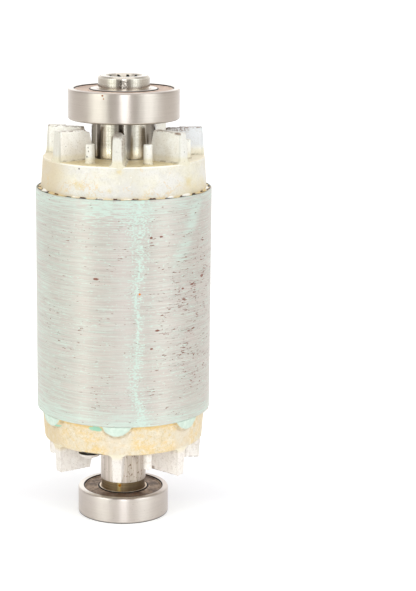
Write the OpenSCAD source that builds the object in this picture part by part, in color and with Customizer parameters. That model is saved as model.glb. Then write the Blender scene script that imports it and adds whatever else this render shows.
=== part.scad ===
// Rotor of a small squirrel-cage induction motor, standing on its lower ball bearing.
// The origin is on the shaft axis, at the lower bearing's bottom face. +Z runs up the shaft.
// Angles are counted from the front (-Y) towards +X.

/* [Core] */
// Outer diameter of the turned lamination stack
core_d = 98.4; // [90:0.2:110]
// Length of the lamination stack
core_len = 126; // [90:1:160]
// Number of cage bars cast into the stack
bar_count = 30; // [22:1:34]
// Diameter of the bulb at a bar's outer end
bar_w = 5.6; // [5:0.1:6.4]
// Width of a bar's leg at the bulb
bar_neck_w = 4.4; // [3.6:0.1:4.8]
// Width of a bar's leg at its inner end
bar_root_w = 2.8; // [2:0.1:3.4]
// Depth of steel between the shaft and the inner ends of the bars
yoke = 13; // [10:0.5:18]
// Steel left between a bar and the outside of the stack
bar_cover = 1.2; // [0.8:0.1:2]

/* [End rings] */
// Height of an end ring along the shaft
ring_h = 17.5; // [12:0.5:22]
// Width of the stack's end that shows outside an end ring
ring_ledge = 2.9; // [1.5:0.1:5]
// Draft angle of the casting, in degrees
draft = 4; // [1:0.5:6]
// Gap between the shaft and an end ring's bore
ring_shaft_gap = 2; // [1:0.25:4]
// Radius on the edges of an end ring's face
ring_edge = 0.8; // [0.4:0.1:1.5]

/* [Lower ring lugs] */
// Radius of a lug where it is flush with the stack
lug_r = 9; // [7:0.25:10]
// Growth of a lug's radius from its face to the ring
lug_flare = 2.4; // [1:0.1:3.5]
// Height of a lug's axis above the stack's lower end
lug_rise = 4.1; // [3:0.1:5]
// Depth of a lug's root inside the ring
lug_root = 3; // [2:0.25:5]

/* [Fan blades] */
// Number of blades on each end ring
blade_count = 7; // [5:1:9]
// Angle of the first blade from the front, in degrees
blade_phase = -4.5; // [-25:0.5:25]
// Height of the upper blades
upper_blade_h = 16.5; // [12:0.5:22]
// Height of the lower blades
lower_blade_h = 16; // [12:0.5:22]
// Thickness of a blade at its tip
blade_tip_w = 4.8; // [3.5:0.1:7]
// Thickness of a blade above its root fillets
blade_root_w = 5.9; // [4.5:0.1:8.5]
// Radius of the root fillets
blade_fillet = 2; // [1:0.25:3]
// Distance from the ring's bore to a blade's inner end at the root
blade_inset = 1; // [0.5:0.25:3]
// Slant of a blade's inner end from root to tip
blade_slant = 3.5; // [1:0.25:6]
// Small radius on a blade's tip edges
blade_edge = 0.6; // [0.3:0.1:1.2]

/* [Damage] */
// Upper blade whose tip is broken off
broken_blade = 1; // [1:1:7]
// Height that the broken blade has lost at the middle of its tip
broken_drop = 1.2; // [0.5:0.1:3]
// Slope of the break across the blade, in degrees
broken_slope = 25; // [0:1:30]

/* [Balance pins] */
// Diameter of a pin at its root
pin_d = 5.2; // [4:0.1:6]
// Diameter of a pin at its top
pin_top_d = 4.8; // [3.6:0.1:5.6]
// Height of a pin
pin_h = 10.6; // [8:0.2:14]
// Distance from the upper ring's outer edge to a pin's axis
upper_pin_inset = 9; // [6:0.2:10]
// Distance from the lower ring's outer edge to a pin's axis
lower_pin_inset = 7.4; // [6:0.2:10]
// Chamfer on a pin's top
pin_chamfer = 0.5; // [0.2:0.1:1]

/* [Balance washer] */
// Place of the lower pin that holds the washer
washer_pin = 7; // [1:1:7]
// Outer diameter of the washer
washer_d = 12; // [9:0.2:13]
// Thickness of the washer
washer_t = 1.5; // [1:0.1:2.5]
// Distance from the lower ring's face to the washer
washer_stand = 1.6; // [0.5:0.1:3]
// Length of pin left below the washer
rivet_h = 1.8; // [1:0.1:3]

/* [Shaft] */
// Step from the upper journal out to the shaft's full diameter
shoulder_step = 3; // [2:0.25:5]
// Step from the lower journal out to the shaft below the core
tail_step = 0.5; // [0.25:0.25:2]
// Step from the upper journal in to the drive end
stub_step = 0.55; // [0.25:0.05:1.5]
// Length of the drive end above the upper bearing
stub_len = 7; // [5:0.5:20]
// Length of journal that shows above the lower bearing
journal_show = 5; // [2:0.5:10]
// Length of full-diameter shaft below the core
shoulder_len = 6; // [3:0.5:12]
// Distance from the lower bearing's face up to the shaft's end
end_recess = 1; // [0.5:0.25:3]
// Chamfer on the shaft's ends
shaft_chamfer = 1; // [0.5:0.1:2]
// Width of the relief groove above the upper bearing
relief_w = 1; // [0.6:0.1:1.6]
// Depth of the relief groove
relief_depth = 0.5; // [0.3:0.1:0.8]

/* [Drive spline] */
// Number of teeth in the drive end's socket
spline_teeth = 11; // [9:1:13]
// Diameter across the tips of the teeth
spline_tip_d = 16; // [14:0.5:18]
// Height of a tooth
spline_tooth_h = 1.5; // [1:0.1:2]
// Width of the space between two teeth at their tips
spline_space_w = 1.9; // [1.5:0.1:2.4]
// Slope of a tooth's flank, in degrees
spline_flank = 20; // [10:1:30]
// Depth of the socket
spline_depth = 40; // [20:1:55]
// Chamfer at the mouth of the socket
spline_chamfer = 0.8; // [0.4:0.1:1.5]

/* [Upper bearing] */
// Bore of the upper bearing
upper_bore = 30; // [28:0.5:34]
// Outer diameter of the upper bearing
upper_od = 62; // [58:0.5:68]
// Width of the upper bearing
upper_w = 17; // [13:0.5:20]
// Part of the upper bearing's section that is inner ring, in percent
upper_inner_part = 23; // [20:0.5:35]
// Part of the upper bearing's section that is outer ring beside the seal, in percent
upper_outer_part = 20; // [15:0.5:25]
// Gap between the upper blades' tips and the upper bearing
upper_tip_gap = 4; // [3:0.5:12]

/* [Lower bearing] */
// Bore of the lower bearing
lower_bore = 25; // [22:0.5:28]
// Outer diameter of the lower bearing
lower_od = 52; // [48:0.5:58]
// Width of the lower bearing
lower_w = 15; // [12:0.5:19]
// Part of the lower bearing's section that is inner ring, in percent
lower_inner_part = 10; // [8:0.5:30]
// Part of the lower bearing's section that is outer ring beside the seal, in percent
lower_outer_part = 24; // [18:0.5:28]
// Gap between the lower bearing and the lower blades' tips
lower_tip_gap = 15.5; // [12:0.5:25]

/* [Bearing details] */
// Radius on the outer corners of a bearing
corner_r = 1.1; // [0.6:0.1:1.5]
// Chamfer on the corners of an inner ring
inner_chamfer = 0.4; // [0.3:0.1:0.9]
// Thickness of a seal
seal_t = 1.4; // [1:0.1:2]
// Depth of a seal below the bearing's face
seal_sink = 0.5; // [0.2:0.1:0.8]
// Width of the ledge that a seal sits on
seal_ledge = 1.2; // [0.8:0.1:2]
// Width of the raised bead round a seal's outer edge
seal_bead = 1; // [0.6:0.1:1.6]
// Depth of a seal's plate below its bead
seal_dish = 0.3; // [0.2:0.1:0.5]

/* [Fits] */
// Radial gap between pieces that are pressed or cast together
fit_gap = 0.02; // [0.01:0.01:0.05]
// Gap between a seal's lip and the inner ring that turns in it
run_gap = 0.3; // [0.2:0.05:0.5]

/* [Hidden] */
$fn = 96;
// Sides that an arc in a profile is drawn with, for each quarter turn
quarter_sides = 4;
// Extra reach of a cut past the face that it opens
cut = 1;

// Heights along the shaft, from the lower bearing's bottom face
lower_tip_z = lower_w + lower_tip_gap;
lower_ring_z = lower_tip_z + lower_blade_h;
core_z = lower_ring_z + ring_h;
core_top_z = core_z + core_len;
upper_ring_z = core_top_z + ring_h;
upper_tip_z = upper_ring_z + upper_blade_h;
upper_bearing_z = upper_tip_z + upper_tip_gap;
stub_z = upper_bearing_z + upper_w;
end_z = stub_z + stub_len;

// Radii
core_r = core_d / 2;
upper_journal_r = upper_bore / 2 - fit_gap;
lower_journal_r = lower_bore / 2 - fit_gap;
shaft_r = upper_bore / 2 + shoulder_step;
tail_r = lower_bore / 2 + tail_step;
stub_r = upper_bore / 2 - stub_step;
ring_bore_r = shaft_r + ring_shaft_gap;
ring_root_r = core_r - ring_ledge;
ring_face_r = ring_root_r - ring_h * tan(draft);
ring_arc_r = ring_face_r + ring_edge * (tan(draft) - 1 / cos(draft));
blade_root_r = ring_bore_r + blade_inset;
upper_pin_circle_r = ring_face_r - upper_pin_inset;
lower_pin_circle_r = ring_face_r - lower_pin_inset;
bulb_r = core_r - bar_cover - bar_w / 2;
bar_root_r = shaft_r + yoke;
upper_inner_wall = (upper_od - upper_bore) / 2 * upper_inner_part / 100;
upper_outer_wall = (upper_od - upper_bore) / 2 * upper_outer_part / 100;
lower_inner_wall = (lower_od - lower_bore) / 2 * lower_inner_part / 100;
lower_outer_wall = (lower_od - lower_bore) / 2 * lower_outer_part / 100;
spline_tip_r = spline_tip_d / 2;
spline_root_r = spline_tip_r + spline_tooth_h;

// Angular steps
blade_step = 360 / blade_count;
pin_phase = blade_phase + blade_step / 2;
bar_step = 360 / bar_count;
spline_step = 360 / spline_teeth;

steel = "#b9b4ad";
bright_steel = "#cfccc8";
lamination_steel = "#b3b5a6";
aluminium = "#d8d4c4";
cast_gold = "#dccfa0";
seal_brown = "#6b5f58";

// Points of an arc about a centre, from one angle to another
function arc(centre, r, from, to, sides = quarter_sides) =
    [for (i = [0:sides]) let (a = from + (to - from) * i / sides) centre + r * [cos(a), sin(a)]];

// Points with their first coordinate turned round, in reverse order
function mirrored(points) =
    [for (i = [len(points) - 1:-1:0]) [-points[i][0], points[i][1]]];

// Turns what is modelled at the front to an angle round the shaft
module at_angle(a) {
    rotate([0, 0, a]) children();
}

// Turned shaft, with a splined socket in its upper end
module shaft() {
    journal_top = lower_w + journal_show;
    shoulder_z = core_z - shoulder_len;
    color(steel)
    difference() {
        rotate_extrude()
        polygon([
            [0, end_recess],
            [lower_journal_r - shaft_chamfer, end_recess],
            [lower_journal_r, end_recess + shaft_chamfer],
            [lower_journal_r, journal_top],
            [tail_r, journal_top],
            [tail_r, shoulder_z],
            [shaft_r, shoulder_z],
            [shaft_r, upper_bearing_z],
            [upper_journal_r, upper_bearing_z],
            [upper_journal_r, stub_z],
            [stub_r - relief_depth, stub_z],
            [stub_r - relief_depth, stub_z + relief_w],
            [stub_r, stub_z + relief_w],
            [stub_r, end_z - shaft_chamfer],
            [stub_r - shaft_chamfer, end_z],
            [0, end_z]
        ]);
        spline_socket();
    }
}

// Space of the splined socket: a plain bore, the spaces between the teeth and a chamfered mouth
module spline_socket() {
    half_tip = spline_space_w / 2;
    half_root = half_tip - spline_tooth_h * tan(spline_flank);
    translate([0, 0, end_z - spline_depth]) {
        cylinder(r = spline_tip_r, h = spline_depth + cut);
        for (i = [0:spline_teeth - 1])
            at_angle((i + 0.5) * spline_step + 180)
            linear_extrude(height = spline_depth + cut)
            polygon([
                [-half_tip, -spline_tip_r + spline_tooth_h],
                [-half_tip, -spline_tip_r],
                [-half_root, -spline_root_r],
                [half_root, -spline_root_r],
                [half_tip, -spline_tip_r],
                [half_tip, -spline_tip_r + spline_tooth_h]
            ]);
    }
    translate([0, 0, end_z - spline_tooth_h - spline_chamfer])
        cylinder(
            r1 = spline_tip_r,
            r2 = spline_root_r + spline_chamfer + cut,
            h = spline_tooth_h + spline_chamfer + cut
        );
}

// One bar of the cage, a tapered leg with a round bulb at its outer end, grown by a gap on its sides
module bar(gap, from_z, to_z) {
    half_neck = bar_neck_w / 2 + gap;
    half_root = bar_root_w / 2 + gap;
    translate([0, 0, from_z]) {
        translate([0, -bulb_r, 0])
            cylinder(d = bar_w + 2 * gap, h = to_z - from_z);
        linear_extrude(height = to_z - from_z)
            polygon([
                [-half_root, -bar_root_r + gap],
                [half_root, -bar_root_r + gap],
                [half_neck, -bulb_r],
                [-half_neck, -bulb_r]
            ]);
    }
}

// Stack of laminations, turned to size, with closed slots for the cage bars
module rotor_core() {
    color(lamination_steel)
    difference() {
        translate([0, 0, core_z])
            cylinder(r = core_r, h = core_len);
        translate([0, 0, core_z - cut])
            cylinder(r = shaft_r + fit_gap, h = core_len + 2 * cut);
        for (i = [0:bar_count - 1])
            at_angle(blade_phase + (i + 0.5) * bar_step)
            bar(fit_gap, core_z - cut, core_top_z + cut);
    }
}

// Bars of the cage, from end ring to end ring
module cage_bars() {
    color(cast_gold)
    for (i = [0:bar_count - 1])
        at_angle(blade_phase + (i + 0.5) * bar_step)
        bar(0, core_z, core_top_z);
}

// End ring, standing on its root face
module end_ring() {
    rotate_extrude()
    polygon(concat(
        [[ring_bore_r, 0], [ring_root_r, 0]],
        arc([ring_arc_r, ring_h - ring_edge], ring_edge, draft, 90),
        arc([ring_bore_r + ring_edge, ring_h - ring_edge], ring_edge, 90, 180)
    ));
}

// Upper end ring, on the stack's upper end
module upper_end_ring() {
    color(aluminium)
    translate([0, 0, core_top_z])
        end_ring();
}

// Lower end ring, under the stack, with a lug below each blade's place
module lower_end_ring() {
    color(cast_gold)
    union() {
        translate([0, 0, core_z])
            mirror([0, 0, 1])
            end_ring();
        for (i = [0:blade_count - 1])
            at_angle(blade_phase + i * blade_step)
            lug();
    }
}

// Lug on the lower end ring: the lower part of a cone that lies along a radius
module lug() {
    slope = lug_flare / ring_ledge;
    depth = ring_ledge + lug_root;
    intersection() {
        translate([0, -core_r - cut, core_z + lug_rise])
            rotate([-90, 0, 0])
            cylinder(r1 = lug_r - slope * cut, r2 = lug_r + slope * depth, h = depth + cut);
        translate([0, 0, core_z - ring_h])
            cylinder(r = core_r, h = ring_h - fit_gap);
    }
}

// Fan blade, standing on an end ring's face at the front, with a heel over the ring's rounded edge
module blade(h) {
    half_tip = blade_tip_w / 2;
    half_root = blade_root_w / 2;
    half_foot = half_root + blade_fillet;
    lean = atan((half_root - half_tip) / (h - blade_fillet));
    side = concat(
        [[half_foot, -ring_edge]],
        arc([half_foot, blade_fillet], blade_fillet, 270, 180),
        arc([half_tip - blade_edge, h - blade_edge], blade_edge, lean, 90)
    );
    intersection() {
        rotate([90, 0, 0])
            linear_extrude(height = core_r)
            polygon(concat(side, mirrored(side)));
        rotate_extrude()
            polygon(concat(
                [[blade_root_r, 0]],
                arc([ring_arc_r, -ring_edge], ring_edge, 90, draft),
                [[ring_face_r - h * tan(draft), h], [blade_root_r + blade_slant, h]]
            ));
    }
}

// Fan blade on the upper end ring; one has lost its tip
module upper_fan_blade(i) {
    color(aluminium)
    translate([0, 0, upper_ring_z])
        at_angle(blade_phase + (i - 1) * blade_step)
        difference() {
            blade(upper_blade_h);
            if (i == broken_blade) broken_tip();
        }
}

// Space above the break of the broken blade, which falls towards the blade's right side
module broken_tip() {
    translate([0, 0, upper_blade_h - broken_drop])
        rotate([0, broken_slope, 0])
        translate([-blade_root_w, -core_r, 0])
        cube([2 * blade_root_w, core_r, upper_blade_h]);
}

// Fan blade under the lower end ring
module lower_fan_blade(i) {
    color(aluminium)
    translate([0, 0, lower_ring_z])
        mirror([0, 0, 1])
        at_angle(blade_phase + (i - 1) * blade_step)
        blade(lower_blade_h);
}

// Balance pin of a height, standing on an end ring's face at the front
module balance_pin(circle_r, h) {
    translate([0, -circle_r, 0])
        rotate_extrude()
        polygon([
            [0, 0],
            [pin_d / 2, 0],
            [pin_top_d / 2, h - pin_chamfer],
            [pin_top_d / 2 - pin_chamfer, h],
            [0, h]
        ]);
}

// Pins between the upper blades
module upper_balance_pins() {
    color(aluminium)
    translate([0, 0, upper_ring_z])
        for (i = [0:blade_count - 1])
            at_angle(pin_phase + i * blade_step)
            balance_pin(upper_pin_circle_r, pin_h);
}

// Pins between the lower blades; the one that holds the washer is cut short and riveted
module lower_balance_pins() {
    riveted_h = washer_stand + washer_t + rivet_h;
    color(aluminium)
    translate([0, 0, lower_ring_z])
        mirror([0, 0, 1])
        for (i = [1:blade_count])
            at_angle(pin_phase + (i - 1) * blade_step)
            balance_pin(lower_pin_circle_r, i == washer_pin ? riveted_h : pin_h);
}

// Washer that balances the rotor, on one of the lower pins
module balance_washer() {
    color(steel)
    translate([0, 0, lower_ring_z - washer_stand - washer_t])
        at_angle(pin_phase + (washer_pin - 1) * blade_step)
        translate([0, -lower_pin_circle_r, 0])
        difference() {
            cylinder(d = washer_d, h = washer_t);
            translate([0, 0, -cut])
                cylinder(d = pin_d + 2 * fit_gap, h = washer_t + 2 * cut);
        }
}

// Inner ring of a bearing, with its corners chamfered
module inner_ring(bore, wall, w) {
    r_in = bore / 2;
    r_out = r_in + wall;
    c = min(inner_chamfer, wall / 3);
    color(bright_steel)
    rotate_extrude()
    polygon([
        [r_in + c, 0], [r_out - c, 0], [r_out, c], [r_out, w - c],
        [r_out - c, w], [r_in + c, w], [r_in, w - c], [r_in, c]
    ]);
}

// Outer ring of a bearing, with a stepped seat for a seal at each end
module outer_ring(od, wall, w) {
    r_out = od / 2;
    r_seat = r_out - wall;
    r_land = r_seat - seal_ledge;
    seat = seal_sink + seal_t;
    color(bright_steel)
    rotate_extrude()
    polygon(concat(
        [[r_seat, 0]],
        arc([r_out - corner_r, corner_r], corner_r, -90, 0),
        arc([r_out - corner_r, w - corner_r], corner_r, 0, 90),
        [[r_seat, w], [r_seat, w - seat], [r_land, w - seat], [r_land, seat], [r_seat, seat]]
    ));
}

// Seal of a bearing, with its seat face at the bottom and a raised bead round its outer edge
module seal(bore, inner_wall, od, outer_wall) {
    r_in = bore / 2 + inner_wall + run_gap;
    r_out = od / 2 - outer_wall - fit_gap;
    color(seal_brown)
    rotate_extrude()
    polygon([
        [r_in, 0],
        [r_out, 0],
        [r_out, seal_t],
        [r_out - seal_bead, seal_t],
        [r_out - seal_bead - seal_dish, seal_t - seal_dish],
        [r_in + seal_bead + seal_dish, seal_t - seal_dish],
        [r_in + seal_bead, seal_t],
        [r_in, seal_t]
    ]);
}

// Seal in a bearing's upper face
module top_seal(bore, inner_wall, od, outer_wall, w) {
    translate([0, 0, w - seal_sink - seal_t])
        seal(bore, inner_wall, od, outer_wall);
}

// Seal in a bearing's lower face
module bottom_seal(bore, inner_wall, od, outer_wall) {
    translate([0, 0, seal_sink + seal_t])
        mirror([0, 0, 1])
        seal(bore, inner_wall, od, outer_wall);
}

module upper_bearing_inner_ring() {
    translate([0, 0, upper_bearing_z])
        inner_ring(upper_bore, upper_inner_wall, upper_w);
}

module upper_bearing_outer_ring() {
    translate([0, 0, upper_bearing_z])
        outer_ring(upper_od, upper_outer_wall, upper_w);
}

module upper_bearing_top_seal() {
    translate([0, 0, upper_bearing_z])
        top_seal(upper_bore, upper_inner_wall, upper_od, upper_outer_wall, upper_w);
}

module upper_bearing_bottom_seal() {
    translate([0, 0, upper_bearing_z])
        bottom_seal(upper_bore, upper_inner_wall, upper_od, upper_outer_wall);
}

module lower_bearing_inner_ring() {
    inner_ring(lower_bore, lower_inner_wall, lower_w);
}

module lower_bearing_outer_ring() {
    outer_ring(lower_od, lower_outer_wall, lower_w);
}

module lower_bearing_top_seal() {
    top_seal(lower_bore, lower_inner_wall, lower_od, lower_outer_wall, lower_w);
}

module lower_bearing_bottom_seal() {
    bottom_seal(lower_bore, lower_inner_wall, lower_od, lower_outer_wall);
}

shaft();
rotor_core();
cage_bars();
upper_end_ring();
lower_end_ring();
for (i = [1:blade_count])
    upper_fan_blade(i);
for (i = [1:blade_count])
    lower_fan_blade(i);
upper_balance_pins();
lower_balance_pins();
balance_washer();
upper_bearing_inner_ring();
upper_bearing_outer_ring();
upper_bearing_top_seal();
upper_bearing_bottom_seal();
lower_bearing_inner_ring();
lower_bearing_outer_ring();
lower_bearing_top_seal();
lower_bearing_bottom_seal();
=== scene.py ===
"""Looks of a squirrel-cage motor rotor that stands on its lower bearing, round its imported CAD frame.

Lengths are in millimetres unless a name says otherwise. Angles are in degrees, counted from the front
(-Y) towards +X. Meshes are made in the row frame, so an object coordinate is a place on the rotor.
"""

import math

import bmesh
import bpy
import numpy as np
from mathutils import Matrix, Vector, noise


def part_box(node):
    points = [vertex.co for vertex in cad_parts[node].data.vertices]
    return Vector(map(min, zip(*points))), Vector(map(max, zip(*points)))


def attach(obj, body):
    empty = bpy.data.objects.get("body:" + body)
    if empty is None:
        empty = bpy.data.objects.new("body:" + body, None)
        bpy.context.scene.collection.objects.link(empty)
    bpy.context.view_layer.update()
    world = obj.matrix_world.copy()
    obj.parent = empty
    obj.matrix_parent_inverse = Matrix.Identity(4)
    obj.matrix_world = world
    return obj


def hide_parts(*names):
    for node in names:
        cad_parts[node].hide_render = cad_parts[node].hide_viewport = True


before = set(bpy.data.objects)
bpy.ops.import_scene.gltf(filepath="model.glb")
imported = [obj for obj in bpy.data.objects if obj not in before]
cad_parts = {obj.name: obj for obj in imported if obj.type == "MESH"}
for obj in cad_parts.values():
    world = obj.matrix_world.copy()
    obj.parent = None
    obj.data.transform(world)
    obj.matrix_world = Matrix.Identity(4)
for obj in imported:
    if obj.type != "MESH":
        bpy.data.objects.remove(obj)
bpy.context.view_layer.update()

MM = 0.001


def heights(node):
    """Lowest and highest z of a CAD node."""
    low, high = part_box(node)
    return low[2] / MM, high[2] / MM


def reach(node):
    """Largest radius of a round CAD node."""
    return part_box(node)[1][0] / MM


# Sizes that the frame gives
CORE_R = reach("rotor_core")
CORE_LOW, CORE_TOP = heights("rotor_core")
RING_ROOT_R = reach("upper_end_ring")
UPPER_FACE = heights("upper_end_ring")[1]
LOWER_FACE = heights("lower_end_ring")[0]
UPPER_TIP = heights("upper_fan_blade_2")[1]
LOWER_TIP = heights("lower_fan_blade_1")[0]
PIN_H = heights("upper_balance_pins")[1] - UPPER_FACE
WASHER_TOP = heights("balance_washer")[1]

# Sizes that are the same as in the CAD source
SHAFT_R = 18.0
UPPER_BORE_R = 15.0
TAIL_R = 12.5
RING_BORE_R = 20.0
DRAFT = math.tan(math.radians(4.0))
RING_EDGE = 0.8
LUG_R = 9.0
LUG_RISE = 4.1
LUG_SLOPE = 2.4 / 2.9
BLADES = 7
BLADE_PHASE = -4.5
BLADE_STEP = 360.0 / BLADES
BLADE_ROOT_W = 5.9
BLADE_TIP_W = 4.8
BLADE_FILLET = 2.0
BLADE_INNER_R = 21.0
BLADE_SLANT = 3.5
BAR_STEP = 360.0 / 30
PIN_R = 2.6
PIN_TOP_R = 2.4
UPPER_PIN_INSET = 9.0
LOWER_PIN_INSET = 7.4
WASHER_PIN = 7
RIVETED_PIN_H = 4.9
SEAL_T = 1.4
SEAL_SINK = 0.5
SEAL_LEDGE = 1.2
RUN_GAP = 0.3
CORNER_R = 1.1

RING_FACE_R = RING_ROOT_R - (UPPER_FACE - CORE_TOP) * DRAFT


# Meshes

def blade_angle(number):
    return BLADE_PHASE + (number - 1) * BLADE_STEP


def lumps(points, size, seed):
    """Smooth noise from -1 to 1 at each point, with features of about that size."""
    shift = Vector((17.3 * seed, -9.1 * seed, 5.7 * seed))
    return np.array([noise.noise(Vector(point) / size + shift) for point in points])


def on_cylinder(angle, radius, z):
    """Points at those angles, radii and heights."""
    turn = np.radians(angle)
    return np.stack([radius * np.sin(turn), -radius * np.cos(turn), z], -1)


def filleted(corners, sides=5):
    """Closed outline of (radius, z, fillet) corners, with each fillet drawn as an arc."""
    outline = []
    count = len(corners)
    for i, (x, y, fillet) in enumerate(corners):
        here = np.array([x, y])
        if fillet == 0:
            outline.append(here)
            continue
        before = np.array(corners[i - 1][:2]) - here
        after = np.array(corners[(i + 1) % count][:2]) - here
        before /= np.linalg.norm(before)
        after /= np.linalg.norm(after)
        half = math.acos(float(np.clip(before @ after, -1, 1))) / 2
        middle = (before + after) / np.linalg.norm(before + after)
        centre = here + middle * fillet / math.sin(half)
        start = here + before * fillet / math.tan(half) - centre
        end = here + after * fillet / math.tan(half) - centre
        for share in np.linspace(0, 1, sides + 1):
            spoke = start * (1 - share) + end * share
            outline.append(centre + spoke * fillet / np.linalg.norm(spoke))
    return np.array(outline)


def dense(outline, step):
    """The closed outline with no side longer than the step."""
    points = []
    for here, after in zip(outline, np.roll(outline, -1, axis=0)):
        cuts = max(1, math.ceil(np.linalg.norm(after - here) / step))
        points.extend(here + (after - here) * i / cuts for i in range(cuts))
    return np.array(points)


def lathe(outline, segments, shape=None):
    """Points and quads of a closed outline turned round an axis. shape may move its radii and heights."""
    angle = np.repeat(np.arange(segments) * 360.0 / segments, len(outline))
    radius = np.tile(outline[:, 0], segments)
    z = np.tile(outline[:, 1], segments)
    if shape:
        radius, z = shape(angle, radius, z)
    index = np.arange(segments * len(outline)).reshape(segments, len(outline))
    beside = np.roll(index, -1, axis=0)
    corners = [index, beside, np.roll(beside, -1, axis=1), np.roll(index, -1, axis=1)]
    return on_cylinder(angle, radius, z), np.stack(corners, -1).reshape(-1, 4)


def block(cells):
    """Points, in shares of each axis, and quads of the surface of a block cut into cells."""
    index = np.arange(np.prod(np.array(cells) + 1)).reshape(np.array(cells) + 1)
    quads = []
    for side in (index[0], index[-1], index[:, 0], index[:, -1], index[:, :, 0], index[:, :, -1]):
        corners = [side[:-1, :-1], side[1:, :-1], side[1:, 1:], side[:-1, 1:]]
        quads.append(np.stack(corners, -1).reshape(-1, 4))
    used, quads = np.unique(np.concatenate(quads), return_inverse=True)
    return np.stack(np.unravel_index(used, index.shape), -1) / np.array(cells), quads.reshape(-1, 4)


def piece(name, points, quads, material, body, slot, replaced, sharp=40):
    """Smooth-shaded mesh object that rides on a body and stands for a CAD node."""
    mesh = bpy.data.meshes.new(name)
    mesh.from_pydata((np.asarray(points) * MM).tolist(), [], quads.tolist())
    shell = bmesh.new()
    shell.from_mesh(mesh)
    bmesh.ops.recalc_face_normals(shell, faces=shell.faces)
    shell.to_mesh(mesh)
    shell.free()
    mesh.shade_smooth()
    mesh.set_sharp_from_angle(angle=math.radians(sharp))
    mesh.materials.append(material)
    made = bpy.data.objects.new(name, mesh)
    bpy.context.scene.collection.objects.link(made)
    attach(made, body)
    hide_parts(replaced)
    return made


def as_cast(points, *layers):
    """Points pushed about by a casting's uneven skin, in layers of an amount, a size and a seed."""
    for amount, size, seed in layers:
        skin = np.stack([lumps(points, size, seed + axis) for axis in range(3)], -1)
        points = points + amount * skin
    return points


# Material building

def rgb(code):
    """Linear colour of an sRGB hex code."""
    parts = [int(code[i:i + 2], 16) / 255 for i in (1, 3, 5)]
    return (*[c / 12.92 if c <= 0.04045 else ((c + 0.055) / 1.055) ** 2.4 for c in parts], 1.0)


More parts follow.
